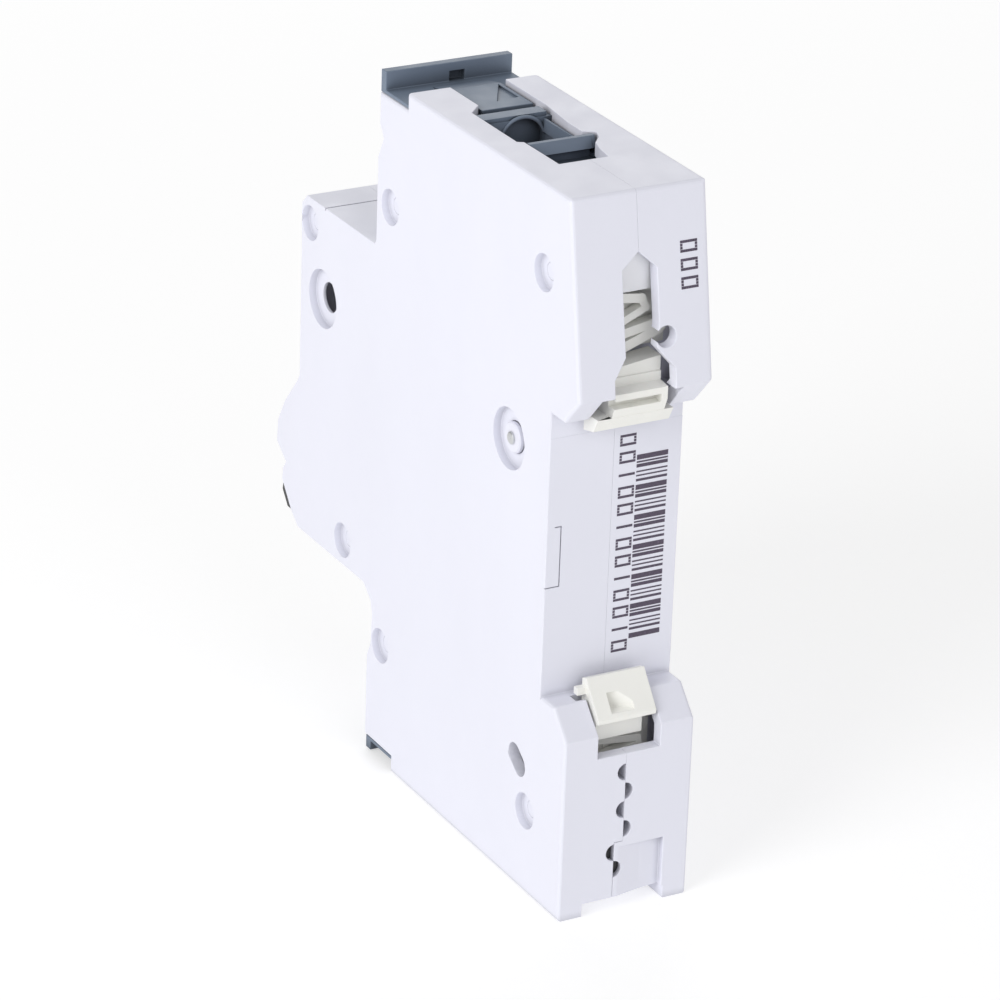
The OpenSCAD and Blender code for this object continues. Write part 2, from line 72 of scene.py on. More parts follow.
class Surface:
    """A Principled material with helpers that add procedural detail in object coordinates."""

    def __init__(self, name, metallic=0.0, roughness=0.5):
        self.material = bpy.data.materials.new(name)
        self.material.use_nodes = True
        self.nodes = self.material.node_tree.nodes
        self.links = self.material.node_tree.links
        self.shader = self.nodes["Principled BSDF"]
        self.shader.inputs["Metallic"].default_value = metallic
        self.shader.inputs["Roughness"].default_value = roughness
        self.coordinates = self.nodes.new("ShaderNodeTexCoord").outputs["Object"]
        self.normal = None

    def noise(self, size_mm, detail, stretch=(1, 1, 1)):
        """Noise whose features are about size_mm across, stretched along the axes given."""
        mapping = self.nodes.new("ShaderNodeMapping")
        mapping.inputs["Scale"].default_value = [1 / s for s in stretch]
        texture = self.nodes.new("ShaderNodeTexNoise")
        texture.inputs["Scale"].default_value = 1 / (size_mm * MM)
        texture.inputs["Detail"].default_value = detail
        self.links.new(self.coordinates, mapping.inputs["Vector"])
        self.links.new(mapping.outputs["Vector"], texture.inputs["Vector"])
        return texture.outputs["Fac"]

    def spread(self, value, low, high, start=0.3, end=0.7):
        """Maps the middle of a noise's range onto low to high."""
        ranger = self.nodes.new("ShaderNodeMapRange")
        ranger.inputs["From Min"].default_value = start
        ranger.inputs["From Max"].default_value = end
        ranger.inputs["To Min"].default_value = low
        ranger.inputs["To Max"].default_value = high
        self.links.new(value, ranger.inputs["Value"])
        return ranger.outputs["Result"]

    def colour(self, value, stops):
        """Colours the surface by a value, through (place, colour) stops."""
        ramp = self.nodes.new("ShaderNodeValToRGB")
        elements = ramp.color_ramp.elements
        elements[0].position, elements[0].color = stops[0][0], (*stops[0][1], 1)
        elements[1].position, elements[1].color = stops[-1][0], (*stops[-1][1], 1)
        for place, shade in stops[1:-1]:
            elements.new(place).color = (*shade, 1)
        self.links.new(value, ramp.inputs["Fac"])
        self.links.new(ramp.outputs["Color"], self.shader.inputs["Base Color"])

    def paint_corner_shade(self, reach_mm, darkest):
        """Paints shade into tight inner corners, where shadow gathers: the base colour there is darkened
        down to a share of it.
        """
        closeness = self.nodes.new("ShaderNodeAmbientOcclusion")
        closeness.inputs["Distance"].default_value = reach_mm * MM
        factor = self.spread(closeness.outputs["AO"], darkest, 1.0, 0.35, 0.85)
        mix = self.nodes.new("ShaderNodeMix")
        mix.data_type, mix.blend_type = "RGBA", "MULTIPLY"
        mix.inputs[0].default_value = 1.0
        self.links.new(self.shader.inputs["Base Color"].links[0].from_socket, mix.inputs[6])
        self.links.new(factor, mix.inputs[7])
        self.links.new(mix.outputs[2], self.shader.inputs["Base Color"])

    def roughen(self, value, low, high):
        self.links.new(self.spread(value, low, high), self.shader.inputs["Roughness"])

    def bump(self, value, height_mm, strength=1.0):
        """Adds relief of about height_mm, on top of any relief already there."""
        relief = self.nodes.new("ShaderNodeBump")
        relief.inputs["Strength"].default_value = strength
        relief.inputs["Distance"].default_value = height_mm * MM
        self.links.new(value, relief.inputs["Height"])
        if self.normal is not None:
            self.links.new(self.normal, relief.inputs["Normal"])
        self.normal = relief.outputs["Normal"]
        self.links.new(self.normal, self.shader.inputs["Normal"])


def scaled(shade, factor):
    return tuple(min(1.0, c * factor) for c in shade)


def moulded_plastic(name, shade, roughness, grain_mm=0.22, grain_height=0.006, haze=0.04, specular=0.5,
                    corner_shade=1.0, corner_reach=1.4):
    """Moulded plastic: a spark-eroded grain, faint flow marks and slightly uneven gloss, and painted
    shade in tight inner corners where corner_shade is below 1.
    """
    surface = Surface(name)
    surface.shader.inputs["Specular IOR Level"].default_value = specular
    flow = surface.noise(14, 4, (1, 1, 2.5))
    surface.colour(flow, [(0.3, scaled(shade, 1 - haze)), (0.5, shade), (0.7, scaled(shade, 1 + haze))])
    if corner_shade < 1:
        # painted shade: tight inner corners darkened down to corner_shade of the base colour
        surface.paint_corner_shade(corner_reach, corner_shade)
    surface.roughen(surface.noise(3.5, 5), roughness - 0.06, roughness + 0.07)
    surface.bump(surface.noise(grain_mm, 2), grain_height)
    surface.bump(surface.noise(2.6, 2), 0.008, 0.5)
    return surface.material


def metal(name, shade, roughness, stretch, tarnish, line_mm=0.09):
    """Rolled or drawn metal with fine lines along one axis and a little tarnish."""
    surface = Surface(name, metallic=1.0)
    lines = surface.noise(line_mm, 4, stretch)
    patches = surface.noise(2.4, 5)
    surface.colour(patches, [(0.32, tarnish), (0.5, shade), (0.72, scaled(shade, 1.08))])
    surface.roughen(lines, roughness - 0.08, roughness + 0.1)
    surface.bump(lines, 0.004, 0.7)
    return surface.material


def fibre_board():
    """Pressed fibre with short flecks."""
    surface = Surface("pressed_fibre", roughness=0.85)
    flecks = surface.noise(0.35, 6, (1, 3, 1))
    surface.colour(flecks, [(0.3, (0.26, 0.15, 0.08)), (0.52, (0.42, 0.27, 0.16)),
                            (0.75, (0.55, 0.39, 0.25))])
    surface.bump(flecks, 0.03)
    return surface.material


def printed_ink(name, shade):
    """Ink that has taken a little unevenly on the grain."""
    surface = Surface(name)
    blots = surface.noise(0.3, 4)
    surface.colour(blots, [(0.3, shade), (0.62, scaled(shade, 1.5)), (0.8, scaled(shade, 2.6))])
    surface.roughen(blots, 0.45, 0.7)
    surface.bump(blots, 0.004)
    return surface.material


# painted shade in the case's tight inner corners, wells and crevices, down to 0.7 of its colour
CASE = moulded_plastic("case_plastic", (0.785, 0.79, 0.875), 0.50, haze=0.012, corner_shade=0.7)
# painted shade: the slate covers are darkened into their funnels and inner corners, down to 0.28 of their
# colour within 3.2 mm of a wall
COVER = moulded_plastic("slate_plastic", (0.175, 0.217, 0.285), 0.5, haze=0.08, specular=0.38,
                        corner_shade=0.28, corner_reach=3.2)
CREAM = moulded_plastic("cream_acetal", (0.88, 0.877, 0.835), 0.36, grain_height=0.003, haze=0.04)
BLACK = moulded_plastic("black_plastic", (0.017, 0.017, 0.019), 0.38, haze=0.1)
STEEL = metal("zinc_plated_steel", (0.60, 0.61, 0.62), 0.32, (6, 1, 1), (0.42, 0.41, 0.38))
DARK_STEEL = metal("blued_steel", (0.24, 0.24, 0.26), 0.36, (1, 6, 1), (0.15, 0.13, 0.12))
COPPER = metal("bare_copper", (0.74, 0.36, 0.20), 0.30, (1, 5, 1), (0.46, 0.20, 0.12))
BRASS = metal("plain_brass", (0.73, 0.55, 0.26), 0.28, (5, 1, 1), (0.50, 0.35, 0.16))
SILVER = metal("contact_silver", (0.76, 0.75, 0.72), 0.38, (1, 1, 1), (0.52, 0.50, 0.46), 0.2)
FIBRE = fibre_board()
INK = printed_ink("dark_ink", (0.062, 0.048, 0.075))
PALE_INK = printed_ink("pale_ink", (0.42, 0.42, 0.43))
LABEL = moulded_plastic("label_film", (0.70, 0.71, 0.73), 0.3, grain_height=0.001)
# painted light: a paler copy of the case plastic, lighter to stand in for light that the deep pocket does
# not get, with milder painted shade in its corners
POCKET_PAINTED_LIGHT = moulded_plastic("pocket_plastic_painted_light", (0.86, 0.865, 0.89), 0.5, haze=0.012, corner_shade=0.85)

NODE_LOOKS = {
    CASE: ["case_left_shell", "case_right_shell", "case_rivets"],
    COVER: ["upper_terminal_cover", "lower_terminal_cover", "upper_clamp_shroud", "lower_clamp_shroud"],
    CREAM: ["upper_rail_clip", "lower_rail_clip", "upper_clip_spring", "lower_clip_spring", "trip_lever",
            "coil_bobbin"],
    BLACK: ["toggle_handle"],
    STEEL: ["bimetal_carrier", "magnet_yoke", "toggle_pin", "lever_pin", "link_wire", "latch_plate",
            "plunger", "upper_clamp_cage", "lower_clamp_cage"],
    DARK_STEEL: ["fixed_core", "arc_chute_plates", "bimetal_strip"],
    COPPER: ["upper_contact_plate", "lower_contact_plate", "fixed_contact_strap", "upper_arc_runner",
             "lower_arc_runner", "contact_arm"],
    BRASS: ["calibration_screw", "plunger_pin"],
    SILVER: ["fixed_contact_tip", "moving_contact_tip"],
    FIBRE: ["arc_chute_frame"],
}
for look, names in NODE_LOOKS.items():
    for name in names:
        for material_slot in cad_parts[name].material_slots:
            material_slot.material = look


# ---------------------------------------------------------------- softened edges of the CAD nodes

SHARP_DEGREES = 34           # edges that turn by more than this count as sharp
FLAT_DEGREES = 0.6           # faces closer than this to one plane become one face
SIDE_X = 8.55                # just inside the side faces
TOP_Z = 43.9                 # just under the top face
JOINT_LINE_X = 0.3           # where the two case halves meet
CAP_LINE_Y = -56.45          # fine line across the nose


def edge_weight_group():
    """Node group that sets the bevel weight of each sharp edge.

    The corners of the sides at the rear and the ends, and the top's rear edges, get 1. Other edges get
    Inner. Fine lines, and the hidden corners inside the ends, get 0 and stay crisp.
    """
    group = bpy.data.node_groups.new("edge_weights", "GeometryNodeTree")
    group.interface.new_socket("Geometry", in_out="INPUT", socket_type="NodeSocketGeometry")
    group.interface.new_socket("Inner", in_out="INPUT", socket_type="NodeSocketFloat")
    group.interface.new_socket("Geometry", in_out="OUTPUT", socket_type="NodeSocketGeometry")
    nodes, links = group.nodes, group.links
    source, sink = nodes.new("NodeGroupInput"), nodes.new("NodeGroupOutput")

    def maths(operation, first, second=None):
        node = nodes.new("ShaderNodeMath")
        node.operation = operation
        for socket, value in zip(node.inputs, (first, second)):
            if value is None:
                continue
            if isinstance(value, (int, float)):
                socket.default_value = value
            else:
                links.new(value, socket)
        return node.outputs[0]

    def above(value, limit_mm):
        return maths("GREATER_THAN", value, limit_mm * MM)

    def below(value, limit_mm):
        return maths("LESS_THAN", value, limit_mm * MM)

    def near(value, middle_mm, reach_mm):
        return below(maths("ABSOLUTE", maths("SUBTRACT", value, middle_mm * MM)), reach_mm)

    def both(first, second):
        return maths("MULTIPLY", first, second)

    def either(first, second):
        return maths("MAXIMUM", first, second)

    place = nodes.new("ShaderNodeSeparateXYZ")
    links.new(nodes.new("GeometryNodeInputPosition").outputs[0], place.inputs[0])
    x, y, z = place.outputs
    far_x, far_z = maths("ABSOLUTE", x), maths("ABSOLUTE", z)
    angle = nodes.new("GeometryNodeInputMeshEdgeAngle").outputs["Unsigned Angle"]
    sharp = maths("GREATER_THAN", angle, math.radians(SHARP_DEGREES))
    side_corner = both(above(far_x, SIDE_X), either(above(y, 1), above(far_z, 40)))
    top_corner = both(above(y, 2), above(z, TOP_Z))
    share = either(either(side_corner, top_corner), source.outputs["Inner"])
    on_joint = near(x, JOINT_LINE_X, 0.05)
    cap_line = both(near(y, CAP_LINE_Y, 0.3), above(z, 22))
    seat_line = both(both(above(x, 6.5), below(far_z, 4.2)), near(y, -0.1, 0.2))
    seat_step = both(near(far_z, 14.6, 0.1), near(y, 0, 0.1))
    hidden_corner = both(near(far_x, 7.5, 0.7), above(far_z, 38))
    fine = either(either(on_joint, cap_line), either(seat_line, either(seat_step, hidden_corner)))
    weight = both(both(sharp, share), maths("SUBTRACT", 1.0, fine))

    def store(geometry, kind, attribute, value):
        node = nodes.new("GeometryNodeStoreNamedAttribute")
        node.data_type, node.domain = kind, "EDGE"
        node.inputs["Name"].default_value = attribute
        links.new(geometry, node.inputs["Geometry"])
        links.new(value, node.inputs["Value"])
        return node.outputs["Geometry"]

    weighted = store(source.outputs["Geometry"], "FLOAT", "bevel_weight_edge", weight)
    creased = store(weighted, "BOOLEAN", "sharp_edge", both(sharp, fine))
    links.new(creased, sink.inputs["Geometry"])
    return group


EDGE_WEIGHTS = edge_weight_group()


def soften(name, width_mm, segments=2, inner=1.0, clamp=True):
    """Rounds a node's sharp edges with modifiers, which leave its own mesh as it is."""
    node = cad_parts[name]
    weld = node.modifiers.new("weld", "WELD")
    weld.merge_threshold = 0.002 * MM
    flatten = node.modifiers.new("flatten", "DECIMATE")
    flatten.decimate_type = "DISSOLVE"
    flatten.angle_limit = math.radians(FLAT_DEGREES)
    weigh = node.modifiers.new("weigh", "NODES")
    weigh.node_group = EDGE_WEIGHTS
    weigh["Socket_1"] = inner
    bevel = node.modifiers.new("bevel", "BEVEL")
    bevel.width = width_mm * MM
    bevel.segments = segments
    bevel.limit_method = "WEIGHT"
    bevel.use_clamp_overlap = clamp
    shade = node.modifiers.new("shade", "WEIGHTED_NORMAL")
    shade.mode = "FACE_AREA_WITH_ANGLE"
    shade.weight = 60
    shade.keep_sharp = True


for name in ("case_left_shell", "case_right_shell"):
    soften(name, 0.45, 3, 0.2, clamp=False)
for name in ("upper_terminal_cover", "lower_terminal_cover", "upper_clamp_shroud", "lower_clamp_shroud"):
    soften(name, 0.12)
for name in ("upper_rail_clip", "lower_rail_clip", "upper_clip_spring", "lower_clip_spring"):
    soften(name, 0.14)
soften("toggle_handle", 0.3, 3)
for name in ("upper_clamp_cage", "lower_clamp_cage", "magnet_yoke", "trip_lever", "contact_arm"):
    soften(name, 0.15)


# ---------------------------------------------------------------- helpers for new pieces

def finish_piece(name, shape, look, body, stands_for=(), smooth=True):
    """Turns a bmesh in metres into a piece, which rides on a body if one is given."""
    bmesh.ops.recalc_face_normals(shape, faces=shape.faces)
    mesh = bpy.data.meshes.new(name)
    shape.to_mesh(mesh)
    shape.free()
    mesh.materials.append(look)
    mesh.polygons.foreach_set("use_smooth", [smooth] * len(mesh.polygons))
    piece = bpy.data.objects.new(name, mesh)
    bpy.context.scene.collection.objects.link(piece)
    if body:
        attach(piece, body)
    if stands_for:
        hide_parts(*stands_for)
    return piece


def join_rings(shape, rings):
    """Joins rings of vertices into a closed skin, with a cap on the first and the last."""
    for near, far in zip(rings, rings[1:]):
        for k in range(len(near)):
            shape.faces.new((near[k], near[k - 1], far[k - 1], far[k]))
    shape.faces.new(rings[0])
    shape.faces.new(rings[-1])


def add_wire(shape, path, radius, sides=10):
    """Adds a closed round wire along a path of points, in millimetres."""
    points = [Vector(p) * MM for p in path]
    turns = [2 * math.pi * k / sides for k in range(sides)]
    rings, side = [], None
    for i, point in enumerate(points):
        ahead = (points[min(i + 1, len(points) - 1)] - points[max(i - 1, 0)]).normalized()
        side = ahead.orthogonal() if side is None else side - ahead * side.dot(ahead)
        side.normalize()
        across = ahead.cross(side)
        rings.append([shape.verts.new(point + (side * math.cos(t) + across * math.sin(t)) * radius * MM)
                      for t in turns])
    join_rings(shape, rings)


def add_block(shape, low_mm, high_mm, place=lambda point: point):
    """Adds a box given by two corners in millimetres, with each corner moved by place."""
    made = bmesh.ops.create_cube(shape, size=1.0)["verts"]
    low, high = Vector(low_mm), Vector(high_mm)
    for vertex in made:
        corner = Vector([low[k] + (vertex.co[k] + 0.5) * (high[k] - low[k]) for k in range(3)])
        vertex.co = place(corner) * MM


def add_turned(shape, y, z, profile, sides=40):
    """Adds a closed turned shape about an X axis, from its (x, radius) profile in millimetres."""
    turns = [2 * math.pi * k / sides for k in range(sides)]
    rings = [[shape.verts.new(Vector((x, y + r * math.cos(t), z + r * math.sin(t))) * MM) for t in turns]
             for x, r in profile]
    join_rings(shape, rings)


def helix(centre, axis, radius, start, end, turns, first_angle=0.0, steps=28):
    """Points of a helix about an X or Z axis, from start to end along it."""
    points = []
    count = int(turns * steps)
    for k in range(count + 1):
        angle = first_angle + 2 * math.pi * k / steps
        along = start + (end - start) * k / count
        swing = (radius * math.cos(angle), radius * math.sin(angle))
        if axis == "Z":
            points.append((centre[0] + swing[0], centre[1] + swing[1], along))
        else:
            points.append((along, centre[0] + swing[0], centre[1] + swing[1]))
    return points


# ---------------------------------------------------------------- generic print on the rear

INK_THICKNESS = 0.02
DOT = 0.3
GLYPH_COLUMNS, GLYPH_ROWS = 4, 7
MARK_SHARE = 0.68            # of the pitch from mark to mark, the rest is gap
REAR_FOOT_Y, REAR_FOOT_Z = 6, 21.1
REAR_SLOPE = 3.7 / 22.9      # of the upper block's rear face, in Y for each Z


def on_slanted_rear(point):
    """Moves a point from the plane Y = 0 onto the sloping rear face of the upper block."""
    return point + Vector((0, REAR_FOOT_Y - (point.z - REAR_FOOT_Z) * REAR_SLOPE, 0))


def glyph_dots(kind):
    """Columns and rows of the dots of a plain mark: an open frame or a single bar."""
    if kind == "bar":
        return [(1.5, row) for row in range(GLYPH_ROWS)]
    return [(column, row) for column in range(GLYPH_COLUMNS) for row in range(GLYPH_ROWS)
            if column in (0, GLYPH_COLUMNS - 1) or row in (0, GLYPH_ROWS - 1)]


def dotted_marks(name, kinds, x_left, x_right, z_top, z_bottom, place=lambda point: point):
    """A row of dotted marks down the recess floor, or down the face that place moves them to."""
    shape = bmesh.new()
    row_pitch = (x_left - x_right - DOT) / (GLYPH_ROWS - 1)
    mark_pitch = (z_top - z_bottom) / len(kinds)
    column_pitch = mark_pitch * MARK_SHARE / GLYPH_COLUMNS
    for i, kind in enumerate(kinds):
        for column, row in glyph_dots(kind):
            z = z_top - mark_pitch * i - column * column_pitch
            x = x_left - row * row_pitch
            add_block(shape, (x - DOT, -INK_THICKNESS, z - DOT), (x, INK_THICKNESS, z), place)
    finish_piece(name, shape, INK, "case", smooth=False)


def bar_strip(name, x_left, x_right, z_top, z_bottom):
    """A strip of plain bars in a steady rhythm of wide, thin and middling ones."""
    shape = bmesh.new()
    rhythm = [(0.62, 0.18), (0.2, 0.16), (0.42, 0.42), (0.18, 0.32), (0.18, 0.32), (0.3, 0.44)]
    least_room = 0.5
    z, i = z_top, 0
    while z > z_bottom + least_room:
        width, gap = rhythm[i % len(rhythm)]
        add_block(shape, (x_right, -INK_THICKNESS, z - width), (x_left, INK_THICKNESS, z))
        z -= width + gap
        i += 1
    finish_piece(name, shape, INK, "case", smooth=False)


dotted_marks("rear_marks", ["frame", "frame", "bar"] * 4 + ["frame"], -0.5, -2.6, 13.5, -14.5)
dotted_marks("upper_marks", ["frame"] * 3, -5.0, -7.2, 37.5, 31.3, on_slanted_rear)
bar_strip("bar_strip", -2.8, -6.9, 10.7, -12.5)


# ---------------------------------------------------------------- springs, winding and braid

COIL_Y = -22
TOGGLE_Y, TOGGLE_Z = -55, -8
LEVER_Y, LEVER_Z = -44, -9


def coil_winding():
    """Nine turns of thick wire on the bobbin, with its two ends led away."""
    radius, low, high, wire, lead = 4.2, 1.75, 16.3, 0.8, 2.4
    shape = bmesh.new()
    turns = helix((0, COIL_Y), "Z", radius, low, high, 9, -math.pi / 2, 36)
    first, last = (-lead, COIL_Y - radius, low), (lead, COIL_Y - radius, high)
    add_wire(shape, [first] + turns + [last], wire, 14)
    finish_piece("coil_wire", shape, COPPER, "case", ["coil_winding"])


def plunger_spring():
    """A compression spring with a flat turn at each end, which the plunger shortens."""
    radius, wire, low, high, flat = 1.6, 0.12, 6.13, 9.1, 0.2
    centre = (0, COIL_Y)
    shape = bmesh.new()
    flat_low = helix(centre, "Z", radius, low, low + flat, 1)
    rise = helix(centre, "Z", radius, low + flat, high - flat, 2)
    flat_high = helix(centre, "Z", radius, high - flat, high, 1)
    add_wire(shape, flat_low + rise[1:] + flat_high[1:], wire)
    spring = finish_piece("plunger_spring_wire", shape, STEEL, "case", ["plunger_spring"])
    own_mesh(spring)


def clip_spring(node):
    """A moulded clip spring as its own piece, so that it shortens as the clip slides."""
    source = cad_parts[node]
    bpy.context.view_layer.update()
    mesh = bpy.data.meshes.new_from_object(source.evaluated_get(bpy.context.evaluated_depsgraph_get()))
    mesh.transform(source.matrix_world)
    mesh.materials.clear()
    mesh.materials.append(CREAM)
    piece = bpy.data.objects.new(node + "_flexing", mesh)
    bpy.context.scene.collection.objects.link(piece)
    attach(piece, "case")
    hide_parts(node)
    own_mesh(piece)


def torsion_spring(name, centre, radius, wire, start, end, turns, legs, body, node):
    """A coil about the X axis with two straight legs, each given by its end in Y and Z."""
    coil = helix(centre, "X", radius, start, end, turns)
    first, last = legs
    shape = bmesh.new()
    add_wire(shape, [(start, *first)] + coil + [(end, *last)], wire)
    finish_piece(name, shape, STEEL, body, [node])


def braid():
    """Twisted copper strands from the carrier to the moving arm, bending with it."""
    shape = bmesh.new()
    top, knee, foot = Vector((0, -34.3, 23.6)), Vector((0, -34.3, 2)), Vector((0, -35.7, -9.0))
    knee_share = 0.66        # of the steps lie above the knee
    wide, thick = 0.72, 0.28
    steps, strands, twist = 70, 6, 9
    for strand in range(strands):
        path = []
        for k in range(steps + 1):
            share = k / steps
            if share < knee_share:
                middle = top.lerp(knee, share / knee_share)
            else:
                middle = knee.lerp(foot, (share - knee_share) / (1 - knee_share))
            angle = 2 * math.pi * (strand / strands + twist * share)
            path.append(middle + Vector((wide * math.cos(angle), thick * math.sin(angle), 0)))
        add_wire(shape, path, 0.2, 6)
    made = finish_piece("braid_strands", shape, COPPER, None, ["flexible_braid"])
    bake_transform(made)


coil_winding()
plunger_spring()
torsion_spring("toggle_spring_wire", (TOGGLE_Y, TOGGLE_Z), 1.75, 0.27, 6.0, 6.8, 2.25,
               ((-53.2, -3.4), (-58.6, -5.6)), "case", "toggle_spring")
torsion_spring("contact_spring_wire", (LEVER_Y, LEVER_Z), 1.55, 0.2, -1.5, -2.2, 2.5,
               ((-39.6, -9.6), (-45.6, -6.6)), "arm", "contact_spring")
clip_spring("upper_clip_spring")
clip_spring("lower_clip_spring")
braid()


# ---------------------------------------------------------------- terminal screws

HEAD_LOW, HEAD_HIGH, SCREW_TIP = -40.2, -37.6, -24.1
HEAD_RADIUS, CREST, ROOT, PITCH = 2.9, 2.5, 2.06, 0.8


def screw_rings(sides):
    """Rings of (y, radius) points, from the chamfered head along the thread to the tapered tip."""
    top_chamfer, under_chamfer, taper_length, rings_a_turn = 0.35, 0.2, 0.9, 8
    rows = [(HEAD_LOW, HEAD_RADIUS - top_chamfer), (HEAD_LOW + top_chamfer, HEAD_RADIUS),
            (HEAD_HIGH - under_chamfer, HEAD_RADIUS), (HEAD_HIGH, HEAD_RADIUS - under_chamfer),
            (HEAD_HIGH, ROOT)]
    rings = [[row] * sides for row in rows]
    steps = int((SCREW_TIP - HEAD_HIGH) / (PITCH / rings_a_turn))
    for k in range(1, steps + 1):
        y = HEAD_HIGH + k * PITCH / rings_a_turn
        taper = min(1.0, (SCREW_TIP - y) / taper_length)
        ring = []
        for side in range(sides):
            phase = (y / PITCH - side / sides) % 1
            depth = 1 - abs(2 * phase - 1)
            ring.append((y, ROOT * (0.8 + 0.2 * taper) + (CREST - ROOT) * depth * taper))
        rings.append(ring)
    return rings


def cut_cross_recess(screw, z):
    """Cuts a cross into the head with a Boolean, and keeps the result as the screw's mesh."""
    half_length, half_width, depth, overshoot, sharp_degrees = 2.2, 0.4, 1.2, 0.5, 40
    shape = bmesh.new()
    for degrees in (0, 90):
        turn = Matrix.Translation((0, 0, z)) @ Matrix.Rotation(math.radians(degrees), 4, "Y")
        add_block(shape, (-half_length, HEAD_LOW - overshoot, -half_width),
                  (half_length, HEAD_LOW + depth, half_width), lambda point: turn @ point)
    mesh = bpy.data.meshes.new(screw.name + "_cutter")
    shape.to_mesh(mesh)
    shape.free()
    cutter = bpy.data.objects.new(screw.name + "_cutter", mesh)
    bpy.context.scene.collection.objects.link(cutter)
    cut = screw.modifiers.new("recess", "BOOLEAN")
    cut.operation = "DIFFERENCE"
    cut.object = cutter
    cut.solver = "EXACT"
    cut.use_self = True
    bpy.context.view_layer.update()
    cut_mesh = bpy.data.meshes.new_from_object(screw.evaluated_get(bpy.context.evaluated_depsgraph_get()))
    screw.modifiers.clear()
    screw.data = cut_mesh
    bpy.data.objects.remove(cutter)
    screw.data.set_sharp_from_angle(angle=math.radians(sharp_degrees))


def clamp_screw(name, z, body, node):
    """A terminal screw with a cut thread, a chamfered head and a cross recess."""
    sides = 40
    turns = [2 * math.pi * k / sides for k in range(sides)]
    shape = bmesh.new()
    loops = []
    for ring in screw_rings(sides):
        loops.append([shape.verts.new(Vector((r * math.cos(t), y, z + r * math.sin(t))) * MM)
                      for t, (y, r) in zip(turns, ring)])
    join_rings(shape, loops)
    cut_cross_recess(finish_piece(name, shape, STEEL, body, [node]), z)


clamp_screw("upper_screw_threaded", 33, "upper_screw", "upper_clamp_screw")
clamp_screw("lower_screw_threaded", -33, "lower_screw", "lower_clamp_screw")


# ---------------------------------------------------------------- marks, blank label and small shapes

def toggle_marks():
    """A ring on the toggle's upper face and a bar on its lower one, for off and on."""
    turn = Matrix.Translation((0, TOGGLE_Y, TOGGLE_Z)) @ Matrix.Rotation(math.radians(39), 4, "X")
    taper_degrees, taper = 5.1, 0.089      # how each face of the lever leans, and its tangent
    steps, middle, radius, rise, stroke = 36, -13.6, 1.35, 2.68, 0.17
    ring, bar = bmesh.new(), bmesh.new()
    path = []
    for k in range(steps + 1):
        angle = 2 * math.pi * k / steps
        out = radius * math.sin(angle)
        path.append(turn @ Vector((radius * math.cos(angle), middle + out, rise + taper * out)))
    add_wire(ring, path, stroke, 8)
    finish_piece("toggle_off_ring", ring, PALE_INK, "toggle")
    lean = Matrix.Translation((0, middle, -rise)) @ Matrix.Rotation(math.radians(-taper_degrees), 4, "X")
    add_block(bar, (-stroke, -1.4, -0.1), (stroke, 1.4, 0.06), lambda point: turn @ lean @ point)
    finish_piece("toggle_on_bar", bar, PALE_INK, "toggle", smooth=False)


def front_label():
    """A blank label with plain rules, where the real one carries print."""
    front, thickness, corner = -62.8, 0.06, 0.8
    rule_start, rule_height = -5.4, 0.5
    plate, rules = bmesh.new(), bmesh.new()
    add_block(plate, (-6.4, front - thickness, 5.2), (6.4, front + 0.02, 20.4))
    corners = [e for e in plate.edges if abs(e.verts[0].co.y - e.verts[1].co.y) > 1e-6]
    bmesh.ops.bevel(plate, geom=corners, offset=corner * MM, segments=5, profile=0.5, affect="EDGES")
    finish_piece("front_label", plate, LABEL, "case", smooth=False)
    for z, reach in ((18.2, 5.4), (15.6, 3.2), (14.0, 5.4), (12.4, 4.1), (7.4, 5.4)):
        add_block(rules, (rule_start, front - thickness - INK_THICKNESS, z),
                  (reach, front - 0.05, z + rule_height))
    finish_piece("label_rules", rules, INK, "case", smooth=False)


def scoop_lip():
    """Raised lip round the top of the scoop in the upper funnel."""
    x, y, z, radius = -0.3, -24.62, 40.6, 3.0
    shape = bmesh.new()
    turns = [math.radians(15 + 6 * k) for k in range(26)]
    add_wire(shape, [(x + radius * math.cos(t), y, z + radius * math.sin(t)) for t in turns], 0.24, 8)
    finish_piece("scoop_lip", shape, COVER, "case")


def vent_painted_shade():
    """Black half discs just inside the two lowest vents, each on one side of the joint: painted shade
    that darkens the vents as a deep hollow would.
    """
    shape = bmesh.new()
    joint_x, gap, radius, low, high, steps = 1.4, 0.04, 1.0, 4.5, 5.3, 12
    arc = [math.pi * (k / steps - 0.5) for k in range(steps + 1)]
    for z, side in ((-36.5, 1), (-38.7, -1)):
        outline = [(joint_x + side * (gap + radius * math.cos(t)), z + radius * math.sin(t)) for t in arc]
        rear = [shape.verts.new(Vector((x, high, h)) * MM) for x, h in outline]
        front = [shape.verts.new(Vector((x, low, h)) * MM) for x, h in outline]
        join_rings(shape, [rear, front])
    finish_piece("vent_painted_shade", shape, BLACK, "case", smooth=False)


def rear_pin_caps():
    """White bosses round the rear pin, with the dull end of the pin standing out of each."""
    y, z = -9.6, 11
    bosses, ends = bmesh.new(), bmesh.new()
    for side in (-1, 1):
        add_turned(bosses, y, z, [(side * x, r) for x, r in ((7.6, 1.87), (8.0, 1.87), (8.16, 1.7))])
        add_turned(ends, y, z, [(side * x, r) for x, r in ((8.1, 0.75), (8.36, 0.75), (8.45, 0.62))])
    finish_piece("rear_pin_bosses", bosses, CASE, "case", smooth=False)
    finish_piece("rear_pin_ends", ends, STEEL, "case", smooth=False)


